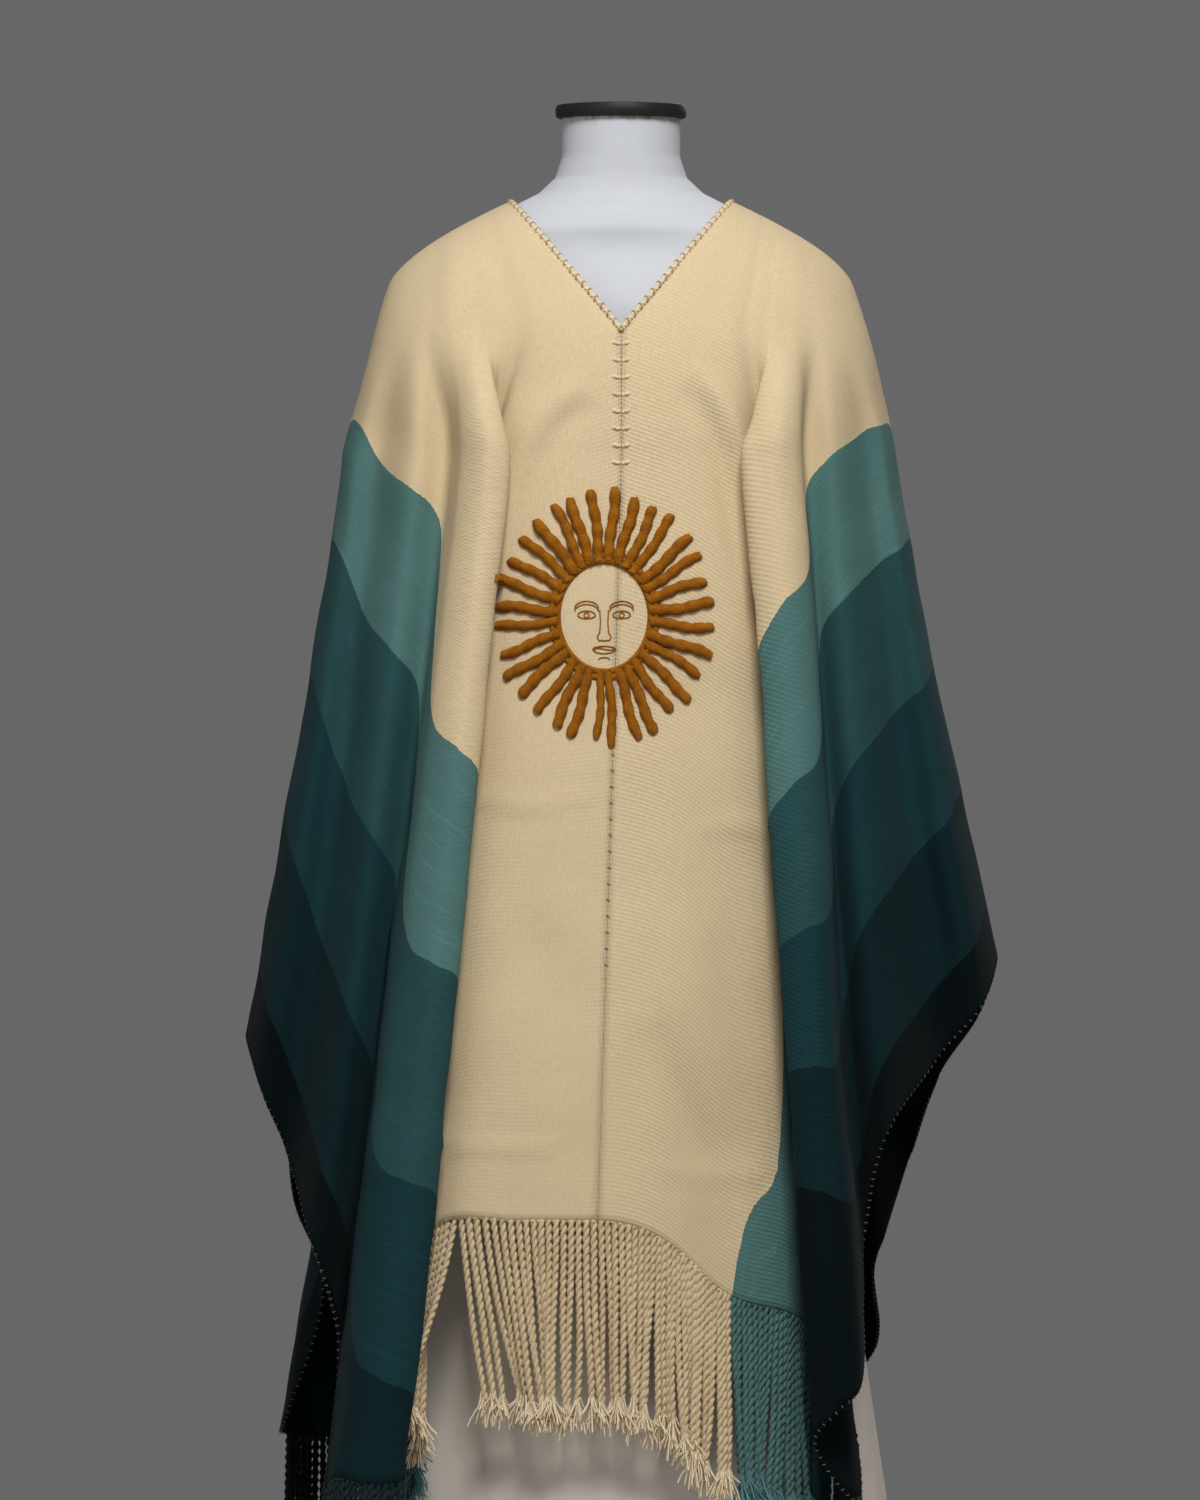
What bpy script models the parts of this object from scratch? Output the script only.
"""A poncho of two woven panels, laid over a limbless dress form.

Metres, +Z up, the front faces -Y, and the origin is on the floor under the form's neck.

Each panel is one length of cloth, 0.71 by 1.90 m flat, laid over a shoulder. It is worked out as four-sided
quarters: front and back of the left and of the right panel. A quarter is a fan of hanging lines. Each line
starts on the shoulder, between the neck and the shoulder tip, and falls to the cut edge, which is the hem
first and then the selvedge. Both quarters of a panel have as many lines, because they share the row on the
shoulder.
"""

import math
from typing import NamedTuple

import bmesh
import bpy
from mathutils import Vector
from mathutils.bvhtree import BVHTree

# Cloth
WALL = 0.0020
GAP = 0.0003
FRINGE_LENGTH = 0.157

# Shoulder line
NECK_OUT = 0.095
NECK_Z = 1.416
TIP_OUT = 0.195
TIP_DROP = 0.058
SHOULDER_ROUNDING = 1.2

# Heights between which the hanging lines are given
CHEST_Z = 1.20
LOW_Z = 0.35
CHEST_OUT = 0.235
CHEST_DEPTH = 0.128
FLARE_POWER = 1.1
SIDE_POWER = 0.8
FOLDS_START = 0.62
CHEST_SPREAD = 0.7
CHEST_CURVE = 2.5
CHEST_ROUNDING = 0.4

# Shading, and mesh density of a quarter
SHARP_ANGLE = math.radians(50.0)
COLUMNS_PER_LINE = 2
NECK_ROWS = 5
BIB_ROWS = 3
HANGING_ROWS = 15

# Dress form
CAP_RADIUS = 0.056
CAP_HEIGHT = 0.012
NECK_TOP_Z = 1.488
FORM_SIDES = 36

# Neck edging
EDGING_RADIUS = 0.002
EDGING_OFFSET = 0.0030
EDGING_ROWS = 8
BESIDE_EDGE = 0.25

# Sun
SUN_OUT = -0.0145
SUN_Z = 1.0597
SUN_RAYS = 32
SUN_FACE = (0.0365, 0.0440)
SUN_RING = (0.0470, 0.0555)
SUN_TIP = (0.0945, 0.1090)
SUN_RELIEF = 0.0030
SUN_CLEARANCE = 0.0010
SUN_RAY_SHARE = 0.72
SUN_RAY_TAPER = 0.62
SUN_POINT = 0.35
SUN_RAY_STEPS = 3

# Fringe
STRANDS = 30
STRIP_HEIGHT = 0.004
STRIP_DEPTH = 0.0034
STRIP_CLEARANCE = 0.0018
STRAND_SHARE = 0.50
STRAND_TAPER = 0.75
STRAND_RAGGED = 0.003
RAGGED_ORDER = (0, 2, 4, 1, 3)
STRAND_ROOM = 0.008

# Colours, as linear red, green and blue
CREAM = (0.60, 0.48, 0.31)
TAN = (0.45, 0.31, 0.16)
OCHRE = (0.34, 0.13, 0.012)
CALICO = (0.52, 0.50, 0.46)
BLACK = (0.012, 0.011, 0.011)


class Line(NamedTuple):
    """One hanging line of a quarter.

    share is its place along the shoulder, 0 at the neck and 1 at the tip. edge is the place it reaches, in
    metres along the hem from the centre seam and then up the selvedge. out and depth are metres sideways and
    forwards (or backwards, on the back) at CHEST_Z and at LOW_Z. foot is the height of the cut edge there.
    """

    share: float
    edge: float
    chest_out: float
    chest_depth: float
    low_out: float
    low_depth: float
    foot: float


class Quarter(NamedTuple):
    """A quarter of the cloth: side +1 is the right panel, facing -1 is the front."""

    side: int
    facing: int
    opening_z: float
    lines: dict


FRONT_RIGHT = Quarter(1, -1, 1.302, {
    #                     share edge  chest_out _depth low_out _depth foot
    "seam":         Line(0.00, 0.00, 0.000, 0.128, -0.027, 0.226, 0.551),
    "panel_middle": Line(0.08, 0.08, 0.048, 0.127, 0.030, 0.224, 0.536),
    "panel_side":   Line(0.16, 0.20, 0.088, 0.121, 0.090, 0.212, 0.488),
    "panel_edge":   Line(0.24, 0.30, 0.104, 0.112, 0.150, 0.178, 0.470),
    "valley_in":    Line(0.29, 0.44, 0.116, 0.098, 0.176, 0.136, 0.440),
    "valley_out":   Line(0.33, 0.55, 0.125, 0.099, 0.196, 0.139, 0.392),
    "corner":       Line(0.38, 0.71, 0.122, 0.118, 0.194, 0.184, 0.318),
    "fold_inner":   Line(0.42, 0.76, 0.106, 0.136, 0.163, 0.222, 0.366),
    "fold_crest":   Line(0.47, 0.80, 0.128, 0.150, 0.184, 0.240, 0.395),
    "fold_outer":   Line(0.52, 0.84, 0.152, 0.132, 0.207, 0.218, 0.424),
    "behind_fold":  Line(0.60, 1.05, 0.156, 0.096, 0.220, 0.120, 0.530),
    "wing_start":   Line(0.68, 1.22, 0.180, 0.096, 0.246, 0.172, 0.622),
    "wing_middle":  Line(0.79, 1.38, 0.208, 0.054, 0.318, 0.080, 0.688),
    "wing_crease":  Line(0.90, 1.52, 0.226, 0.044, 0.380, 0.110, 0.730),
    "side":         Line(1.00, 1.66, 0.235, 0.000, 0.418, 0.000, 0.772),
})

FRONT_LEFT = Quarter(-1, -1, 1.302, {
    "seam":         Line(0.00, 0.00, 0.000, 0.128, 0.027, 0.226, 0.551),
    "panel_middle": Line(0.07, 0.08, 0.040, 0.127, 0.100, 0.222, 0.551),
    "panel_edge":   Line(0.15, 0.17, 0.097, 0.115, 0.174, 0.190, 0.546),
    "valley_in":    Line(0.21, 0.31, 0.105, 0.099, 0.199, 0.128, 0.470),
    "valley_out":   Line(0.26, 0.39, 0.113, 0.100, 0.220, 0.132, 0.430),
    "fold_turn":    Line(0.31, 0.47, 0.110, 0.119, 0.217, 0.182, 0.375),
    "fold_inner":   Line(0.36, 0.54, 0.097, 0.138, 0.181, 0.220, 0.338),
    "fold_crest":   Line(0.42, 0.59, 0.112, 0.149, 0.207, 0.238, 0.333),
    "fold_outer":   Line(0.48, 0.64, 0.133, 0.132, 0.235, 0.216, 0.336),
    "corner":       Line(0.53, 0.71, 0.141, 0.113, 0.246, 0.168, 0.330),
    "behind_fold":  Line(0.60, 0.88, 0.150, 0.094, 0.250, 0.122, 0.440),
    "wing_start":   Line(0.68, 1.08, 0.176, 0.097, 0.280, 0.168, 0.522),
    "wing_middle":  Line(0.79, 1.28, 0.205, 0.056, 0.318, 0.086, 0.600),
    "wing_crease":  Line(0.90, 1.47, 0.227, 0.046, 0.362, 0.100, 0.664),
    "side":         Line(1.00, 1.66, 0.238, 0.000, 0.386, 0.000, 0.704),
})

BACK_RIGHT = Quarter(1, 1, 1.362, {
    "seam":         Line(0.00, 0.00, 0.000, 0.120, -0.010, 0.229, 0.530),
    "panel_middle": Line(0.08, 0.09, 0.050, 0.119, 0.048, 0.229, 0.526),
    "panel_side":   Line(0.16, 0.20, 0.090, 0.112, 0.100, 0.188, 0.500),
    "panel_edge":   Line(0.24, 0.31, 0.104, 0.104, 0.146, 0.186, 0.460),
    "valley_in":    Line(0.29, 0.43, 0.119, 0.090, 0.178, 0.129, 0.425),
    "valley_out":   Line(0.33, 0.53, 0.128, 0.091, 0.202, 0.133, 0.385),
    "fold_turn":    Line(0.38, 0.62, 0.127, 0.108, 0.200, 0.186, 0.348),
    "corner":       Line(0.42, 0.71, 0.110, 0.126, 0.148, 0.234, 0.322),
    "fold_crest":   Line(0.48, 0.79, 0.132, 0.148, 0.186, 0.286, 0.372),
    "fold_outer":   Line(0.54, 0.87, 0.154, 0.122, 0.232, 0.236, 0.424),
    "behind_fold":  Line(0.61, 1.03, 0.160, 0.090, 0.236, 0.126, 0.500),
    "wing_start":   Line(0.69, 1.20, 0.184, 0.094, 0.280, 0.166, 0.590),
    "wing_middle":  Line(0.80, 1.38, 0.208, 0.048, 0.312, 0.080, 0.660),
    "wing_crease":  Line(0.90, 1.52, 0.230, 0.042, 0.384, 0.112, 0.722),
    "side":         Line(1.00, 1.66, 0.235, 0.000, 0.418, 0.000, 0.772),
})

BACK_LEFT = Quarter(-1, 1, 1.362, {
    "seam":         Line(0.00, 0.00, 0.000, 0.120, 0.010, 0.229, 0.530),
    "panel_middle": Line(0.08, 0.08, 0.046, 0.119, 0.070, 0.229, 0.528),
    "panel_edge":   Line(0.18, 0.20, 0.092, 0.108, 0.136, 0.176, 0.508),
    "valley_in":    Line(0.25, 0.32, 0.113, 0.089, 0.194, 0.129, 0.460),
    "valley_out":   Line(0.29, 0.40, 0.121, 0.090, 0.224, 0.130, 0.420),
    "fold_turn":    Line(0.34, 0.48, 0.124, 0.104, 0.232, 0.182, 0.380),
    "fold_inner":   Line(0.40, 0.56, 0.114, 0.124, 0.196, 0.236, 0.346),
    "fold_crest":   Line(0.46, 0.63, 0.136, 0.146, 0.240, 0.284, 0.340),
    "corner":       Line(0.52, 0.71, 0.156, 0.120, 0.292, 0.238, 0.345),
    "fold_outer":   Line(0.58, 0.80, 0.166, 0.100, 0.294, 0.162, 0.368),
    "behind_fold":  Line(0.65, 0.98, 0.176, 0.086, 0.274, 0.120, 0.480),
    "wing_start":   Line(0.72, 1.14, 0.194, 0.086, 0.316, 0.136, 0.555),
    "wing_middle":  Line(0.81, 1.32, 0.212, 0.046, 0.330, 0.074, 0.620),
    "wing_crease":  Line(0.90, 1.48, 0.232, 0.044, 0.368, 0.098, 0.668),
    "side":         Line(1.00, 1.66, 0.238, 0.000, 0.386, 0.000, 0.704),
})


class Section(NamedTuple):
    """A level of the dress form: an ellipse of two half sizes."""

    z: float
    half_width: float
    half_depth: float


FORM_SECTIONS = {
    "neck_top":      Section(1.488, 0.052, 0.052),
    "neck":          Section(1.455, 0.052, 0.050),
    "neck_root":     Section(1.437, 0.058, 0.049),
    "neck_flare":    Section(1.424, 0.072, 0.047),
    "shoulder_rise": Section(1.411, 0.098, 0.044),
    "shoulder":      Section(1.392, 0.136, 0.058),
    "shoulder_tip":  Section(1.357, 0.181, 0.078),
    "upper_arm":     Section(1.325, 0.196, 0.091),
    "bust_top":      Section(1.270, 0.200, 0.100),
    "bust":          Section(1.200, 0.186, 0.098),
    "ribs":          Section(1.110, 0.156, 0.094),
    "waist":         Section(1.030, 0.138, 0.092),
    "high_hip":      Section(0.950, 0.146, 0.102),
    "hip":           Section(0.850, 0.158, 0.114),
    "skirt_top":     Section(0.700, 0.172, 0.129),
    "skirt_middle":  Section(0.550, 0.193, 0.147),
    "skirt_low":     Section(0.310, 0.231, 0.180),
    "floor":         Section(0.000, 0.280, 0.222),
}


def catmull_rom(before, start, end, after, t):
    """A smooth value between start and end, with the values on either side of them."""
    return 0.5 * (
        2.0 * start
        + (end - before) * t
        + (2.0 * before - 5.0 * start + 4.0 * end - after) * t * t
        + (3.0 * start - before - 3.0 * end + after) * t ** 3
    )


def smoothstep(low, high, value):
    """0 below low, 1 above high, and a soft S between them."""
    t = min(max((value - low) / (high - low), 0.0), 1.0)
    return t * t * (3.0 - 2.0 * t)


def line_at(quarter, place):
    """The hanging line at a place counted in lines from the centre seam."""
    rows = list(quarter.lines.values())
    second, next_last = rows[1], rows[-2]
    past_seam = second._replace(
        share=-second.share,
        edge=-second.edge,
        chest_out=-second.chest_out,
        low_out=2.0 * rows[0].low_out - second.low_out,
    )
    past_side = next_last._replace(
        share=2.0 - next_last.share,
        edge=2.0 * rows[-1].edge - next_last.edge,
        chest_depth=-next_last.chest_depth,
        low_depth=-next_last.low_depth,
    )
    padded = [past_seam] + rows + [past_side]
    index = min(int(place), len(rows) - 2)
    around = padded[index:index + 4]
    return Line(*(catmull_rom(*values, place - index) for values in zip(*around)))


def shoulder_point(share):
    """How far out and how high the shoulder line is at a share of its length."""
    out = NECK_OUT + (TIP_OUT - NECK_OUT) * share
    return out, NECK_Z - TIP_DROP * share ** SHOULDER_ROUNDING


def plain_chest(share):
    """Out and depth at chest height of a cloth with no fold in it."""
    out = CHEST_OUT * share ** CHEST_SPREAD
    depth = CHEST_DEPTH * max(1.0 - (out / CHEST_OUT) ** CHEST_CURVE, 0.0) ** CHEST_ROUNDING
    return out, depth


def opening_level(quarter):
    """The level, from 0 on the shoulder to 1 at the chest, at which the neck opening ends."""
    fall = (NECK_Z - quarter.opening_z) / (NECK_Z - CHEST_Z)
    return math.acos(1.0 - fall) / (math.pi / 2.0)


def over_shoulder(quarter, line, level):
    """A point between the shoulder (level 0) and the chest (level 1): out, depth and height."""
    share = min(max(line.share, 0.0), 1.0)
    top_out, top_z = shoulder_point(share)
    plain_out, plain_depth = plain_chest(share)
    folded = smoothstep(FOLDS_START, 1.0, level)
    chest_out = plain_out + (line.chest_out - plain_out) * folded
    chest_depth = plain_depth + (line.chest_depth - plain_depth) * folded
    angle = level * math.pi / 2.0
    fall = 1.0 - math.cos(angle)
    z = top_z - (top_z - CHEST_Z) * fall
    opened = min(max((z - quarter.opening_z) / (NECK_Z - quarter.opening_z), 0.0), 1.0)
    at_neck = (1.0 - share) ** 2
    spread = at_neck * opened + (1.0 - at_neck) * (1.0 - fall ** SIDE_POWER)
    return chest_out + (top_out - chest_out) * spread, chest_depth * math.sin(angle), z


def hanging(line, level):
    """A point between the chest (level 1) and the cut edge (level 2): out, depth and height."""
    z = CHEST_Z - (level - 1.0) * (CHEST_Z - line.foot)
    flare = ((CHEST_Z - z) / (CHEST_Z - LOW_Z)) ** FLARE_POWER
    out = line.chest_out + (line.low_out - line.chest_out) * flare
    depth = line.chest_depth + (line.low_depth - line.chest_depth) * flare
    return out, depth, z


def cloth_point(quarter, place, level):
    """A point of the cloth's middle surface, in the world."""
    line = line_at(quarter, place)
    out, depth, z = over_shoulder(quarter, line, level) if level < 1.0 else hanging(line, level)
    return Vector((quarter.side * (out + GAP / 2.0), quarter.facing * depth, z))


def row_levels(quarter):
    """The levels of a quarter's rows, with one at the end of the neck opening."""
    end = opening_level(quarter)
    neck = [end * row / NECK_ROWS for row in range(NECK_ROWS)]
    bib = [end + (1.0 - end) * row / BIB_ROWS for row in range(BIB_ROWS)]
    return neck + bib + [1.0 + row / HANGING_ROWS for row in range(HANGING_ROWS + 1)]


def column_places(quarter):
    """The places of a quarter's columns, from the centre seam to the side."""
    count = (len(quarter.lines) - 1) * COLUMNS_PER_LINE
    return [column / COLUMNS_PER_LINE for column in range(count + 1)]


def new_object(name, mesh, colour, roughness, metallic=0.0):
    """An object of the poncho's collection with its own material."""
    material = bpy.data.materials.new(name)
    material.use_nodes = True
    shader = material.node_tree.nodes["Principled BSDF"]
    shader.inputs["Base Color"].default_value = (*colour, 1.0)
    shader.inputs["Roughness"].default_value = roughness
    shader.inputs["Metallic"].default_value = metallic
    mesh.materials.append(material)
    piece = bpy.data.objects.new(name, mesh)
    bpy.data.collections["poncho"].objects.link(piece)
    return piece


def finished_mesh(name, bm):
    """The mesh of a bmesh, with its faces turned outwards and shaded smooth."""
    bmesh.ops.recalc_face_normals(bm, faces=bm.faces)
    mesh = bpy.data.meshes.new(name)
    bm.to_mesh(mesh)
    bm.free()
    mesh.shade_smooth()
    mesh.set_sharp_from_angle(angle=SHARP_ANGLE)
    return mesh


def grid_faces(bm, rows):
    """Quads between rows of vertices, which may share their ends."""
    for upper, lower in zip(rows, rows[1:]):
        for a, b, c, d in zip(upper, upper[1:], lower[1:], lower):
            bm.faces.new((a, b, c, d))


def make_panel(name, front, back, colour):
    """One panel: a front and a back quarter that share the shoulder row and the side column."""
    bm = bmesh.new()
    front_rows = [
        [bm.verts.new(cloth_point(front, place, level)) for place in column_places(front)]
        for level in row_levels(front)
    ]
    back_rows = [front_rows[0]]
    for level, shared in zip(row_levels(back)[1:], front_rows[1:]):
        own = [bm.verts.new(cloth_point(back, place, level)) for place in column_places(back)[:-1]]
        back_rows.append(own + shared[-1:])
    grid_faces(bm, front_rows)
    grid_faces(bm, back_rows)
    panel = new_object(name, finished_mesh(name, bm), colour, 0.85)
    wall = panel.modifiers.new("wall", "SOLIDIFY")
    wall.thickness = WALL
    wall.offset = 0.0
    return panel


def hem_polyline(quarter):
    """The hem as the panel's own edge points, each after its metres along the hem."""
    corner = list(quarter.lines).index("corner")
    places = [place for place in column_places(quarter) if place <= corner]
    return [(line_at(quarter, place).edge, cloth_point(quarter, place, 2.0)) for place in places]


def along(polyline, distance):
    """The point of a polyline at a distance along the hem."""
    for (start, low), (end, high) in zip(polyline, polyline[1:]):
        if distance <= end:
            return low.lerp(high, max((distance - start) / (end - start), 0.0))
    return polyline[-1][1].copy()


def form_radii(z):
    """The dress form's half width and half depth at a height."""
    rows = list(FORM_SECTIONS.values())
    for upper, lower in zip(rows, rows[1:]):
        if z >= lower.z:
            t = min((upper.z - z) / (upper.z - lower.z), 1.0)
            return (upper.half_width + (lower.half_width - upper.half_width) * t,
                    upper.half_depth + (lower.half_depth - upper.half_depth) * t)
    return rows[-1].half_width, rows[-1].half_depth


def clear_of_form(point):
    """A point moved outwards where it would lie in or against the dress form."""
    half_width, half_depth = form_radii(point.z)
    reach = math.hypot(point.x / (half_width + STRAND_ROOM), point.y / (half_depth + STRAND_ROOM))
    return point if reach >= 1.0 else Vector((point.x / reach, point.y / reach, point.z))


def strip_section(bm, point, run):
    """Four corners of the fringe's strip, just below a point of the hem and across its run."""
    across = Vector((run.y, -run.x, 0.0)).normalized() * (0.5 * STRIP_DEPTH)
    top = point - Vector((0.0, 0.0, STRIP_CLEARANCE))
    low = top - Vector((0.0, 0.0, STRIP_HEIGHT))
    return [bm.verts.new(corner) for corner in (top + across, top - across, low - across, low + across)]


def grow(bm, face, move, taper):
    """Draws a face out into a strand whose end is moved and made thinner."""
    middle = face.calc_center_median()
    end = [bm.verts.new(middle + move + (vertex.co - middle) * taper) for vertex in face.verts]
    start = list(face.verts)
    bm.faces.remove(face)
    for number, vertex in enumerate(start):
        following = (number + 1) % len(start)
        bm.faces.new((vertex, start[following], end[following], end[number]))
    bm.faces.new(end)


def make_fringe(name, quarter, colour):
    """The plied ends of a quarter's hem: a narrow strip below the edge, with strands drawn down from it."""
    polyline = hem_polyline(quarter)
    pitch = polyline[-1][0] / STRANDS
    stations = []
    for (start, _), (end, _) in zip(polyline, polyline[1:]):
        count = max(round((end - start) / pitch), 1)
        step = (end - start) / count
        margin = 0.5 * (1.0 - STRAND_SHARE) * step
        stations.append(start)
        for number in range(count):
            stations += [start + number * step + margin, start + (number + 1) * step - margin]
    stations = [GAP] + stations[1:] + [polyline[-1][0]]
    ends = {round(station, 6) for station, _ in polyline} | {GAP}
    points = [along(polyline, station) for station in stations]
    bm = bmesh.new()
    before = [points[0]] + points[:-1]
    after = points[1:] + [points[-1]]
    sections = [strip_section(bm, point, end - start) for point, start, end in zip(points, before, after)]
    bm.faces.new(sections[0])
    bm.faces.new(sections[-1])
    roots = []
    rooted = False
    for number, (start, end) in enumerate(zip(sections, sections[1:])):
        rooted = round(stations[number], 6) not in ends and not rooted
        for side in range(4):
            following = (side + 1) % 4
            face = bm.faces.new((start[side], end[side], end[following], start[following]))
            if side == 2 and rooted:
                roots.append(face)
    for number, root in enumerate(roots):
        middle = root.calc_center_median()
        fall = FRINGE_LENGTH - STRIP_HEIGHT - STRAND_RAGGED * RAGGED_ORDER[number % len(RAGGED_ORDER)]
        grow(bm, root, clear_of_form(middle - Vector((0.0, 0.0, fall))) - middle, STRAND_TAPER)
    return new_object(name, finished_mesh(name, bm), colour, 0.85)


def ellipse_point(sizes, angle):
    """Sideways and upward distance from the sun's middle, on an ellipse of two half sizes."""
    return sizes[0] * math.sin(angle), sizes[1] * math.cos(angle)


def make_sun(name, panels, colour):
    """The couched sun: a ring round a bare face with rays drawn out of it, raised off the front panels."""
    cloth = bmesh.new()
    depsgraph = bpy.context.evaluated_depsgraph_get()
    for panel in panels:
        cloth.from_mesh(panel.evaluated_get(depsgraph).to_mesh())
    surface = BVHTree.FromBMesh(cloth)

    def on_cloth(offset, lift):
        place = Vector((SUN_OUT + offset[0], -1.0, SUN_Z + offset[1]))
        beside = [place + Vector((nudge, 0.0, 0.0)) for nudge in (-GAP, GAP)]
        depth = min(surface.ray_cast(start, Vector((0.0, 1.0, 0.0)))[0].y for start in beside)
        return Vector((place.x, depth - lift, place.z))

    pitch = 2.0 * math.pi / SUN_RAYS
    half = 0.5 * SUN_RAY_SHARE * pitch
    angles = [pitch * number + offset for number in range(SUN_RAYS) for offset in (-half, half)]
    lifts = (SUN_CLEARANCE, SUN_CLEARANCE + SUN_RELIEF)
    bm = bmesh.new()
    sections = []
    for angle in angles:
        inner, outer = ellipse_point(SUN_FACE, angle), ellipse_point(SUN_RING, angle)
        corners = ((inner, lifts[0]), (inner, lifts[1]), (outer, lifts[1]), (outer, lifts[0]))
        sections.append([bm.verts.new(on_cloth(*corner)) for corner in corners])
    for number, (start, end) in enumerate(zip(sections, sections[1:] + sections[:1])):
        for side in range(4):
            following = (side + 1) % 4
            if side == 2 and number % 2 == 0:
                continue
            bm.faces.new((start[side], end[side], end[following], start[following]))
        if number % 2:
            continue
        section = [end[2], start[2], start[3], end[3]]
        middle = 0.5 * (angles[number] + angles[number + 1])
        width = half * SUN_RAY_TAPER
        for step in range(1, SUN_RAY_STEPS + 1):
            share = step / SUN_RAY_STEPS
            sizes = [ring + (tip - ring) * share for ring, tip in zip(SUN_RING, SUN_TIP)]
            narrow = width * (1.0 - SUN_POINT * share)
            after, before = ellipse_point(sizes, middle + narrow), ellipse_point(sizes, middle - narrow)
            corners = ((after, lifts[1]), (before, lifts[1]), (before, lifts[0]), (after, lifts[0]))
            grown = [bm.verts.new(on_cloth(*corner)) for corner in corners]
            for side in range(4):
                following = (side + 1) % 4
                bm.faces.new((section[side], section[following], grown[following], grown[side]))
            section = grown
        bm.faces.new(section)
    cloth.free()
    return new_object(name, finished_mesh(name, bm), colour, 0.9)


def neck_edge(quarter):
    """Points just inside the neck opening along a quarter's edge, from the shoulder down."""
    end = opening_level(quarter)
    step = end / EDGING_ROWS
    points = []
    for row in range(EDGING_ROWS):
        edge = cloth_point(quarter, 0.0, row * step)
        along_edge = (cloth_point(quarter, 0.0, (row + 1) * step) - edge).normalized()
        across = edge - cloth_point(quarter, BESIDE_EDGE, row * step)
        inwards = (across - along_edge * across.dot(along_edge)).normalized()
        points.append(edge + inwards * EDGING_OFFSET)
    tip = cloth_point(quarter, 0.0, end)
    along_edge = (cloth_point(quarter, 0.0, end - step) - tip).normalized()
    upwards = Vector((0.0, along_edge.y, along_edge.z)).normalized()
    points.append(Vector((0.0, tip.y, tip.z)) + upwards * EDGING_OFFSET / abs(along_edge.x))
    return points


def make_neck_edging(name, colour):
    """The whip-stitched binding: a cord lying in the edge of the neck opening, all round."""
    quarters = (FRONT_RIGHT, BACK_RIGHT, BACK_LEFT, FRONT_LEFT)
    front_right, back_right, back_left, front_left = map(neck_edge, quarters)
    points = front_right[::-1] + back_right[1:] + back_left[-2::-1] + front_left[1:-1]
    curve = bpy.data.curves.new(name, "CURVE")
    curve.dimensions = "3D"
    curve.bevel_depth = EDGING_RADIUS
    curve.bevel_resolution = 1
    spline = curve.splines.new("POLY")
    spline.points.add(len(points) - 1)
    spline.use_cyclic_u = True
    for point, place in zip(spline.points, points):
        point.co = (*place, 1.0)
    return new_object(name, curve, colour, 0.9)


def make_form(name, colour):
    """The dress form: a loft of ellipses from the neck to the floor, closed at both ends."""
    bm = bmesh.new()
    rings = []
    for section in FORM_SECTIONS.values():
        angles = [2.0 * math.pi * side / FORM_SIDES for side in range(FORM_SIDES)]
        ring = [(section.half_width * math.cos(angle), section.half_depth * math.sin(angle))
                for angle in angles]
        rings.append([bm.verts.new((*place, section.z)) for place in ring])
    grid_faces(bm, [ring + ring[:1] for ring in rings])
    bm.faces.new(rings[0])
    bm.faces.new(rings[-1])
    return new_object(name, finished_mesh(name, bm), colour, 0.8)


def make_cap(name, colour):
    """The flat dark disc on the neck."""
    bm = bmesh.new()
    bmesh.ops.create_cone(bm, cap_ends=True, segments=FORM_SIDES, radius1=CAP_RADIUS, radius2=CAP_RADIUS,
                          depth=CAP_HEIGHT - GAP)
    bmesh.ops.translate(bm, verts=bm.verts, vec=(0.0, 0.0, NECK_TOP_Z + 0.5 * (CAP_HEIGHT + GAP)))
    return new_object(name, finished_mesh(name, bm), colour, 0.35)


def main():
    """Builds the poncho and the dress form in one collection."""
    for old in list(bpy.data.objects):
        bpy.data.objects.remove(old)
    collection = bpy.data.collections.new("poncho")
    bpy.context.scene.collection.children.link(collection)
    panels = [
        make_panel("panel_left", FRONT_LEFT, BACK_LEFT, CREAM),
        make_panel("panel_right", FRONT_RIGHT, BACK_RIGHT, CREAM),
    ]
    bpy.context.view_layer.update()
    make_sun("sun_embroidery", panels, OCHRE)
    make_neck_edging("neck_edging", TAN)
    make_fringe("fringe_front_left", FRONT_LEFT, CREAM)
    make_fringe("fringe_front_right", FRONT_RIGHT, CREAM)
    make_fringe("fringe_back_left", BACK_LEFT, CREAM)
    make_fringe("fringe_back_right", BACK_RIGHT, CREAM)
    make_form("dress_form", CALICO)
    make_cap("neck_cap", BLACK)


main()
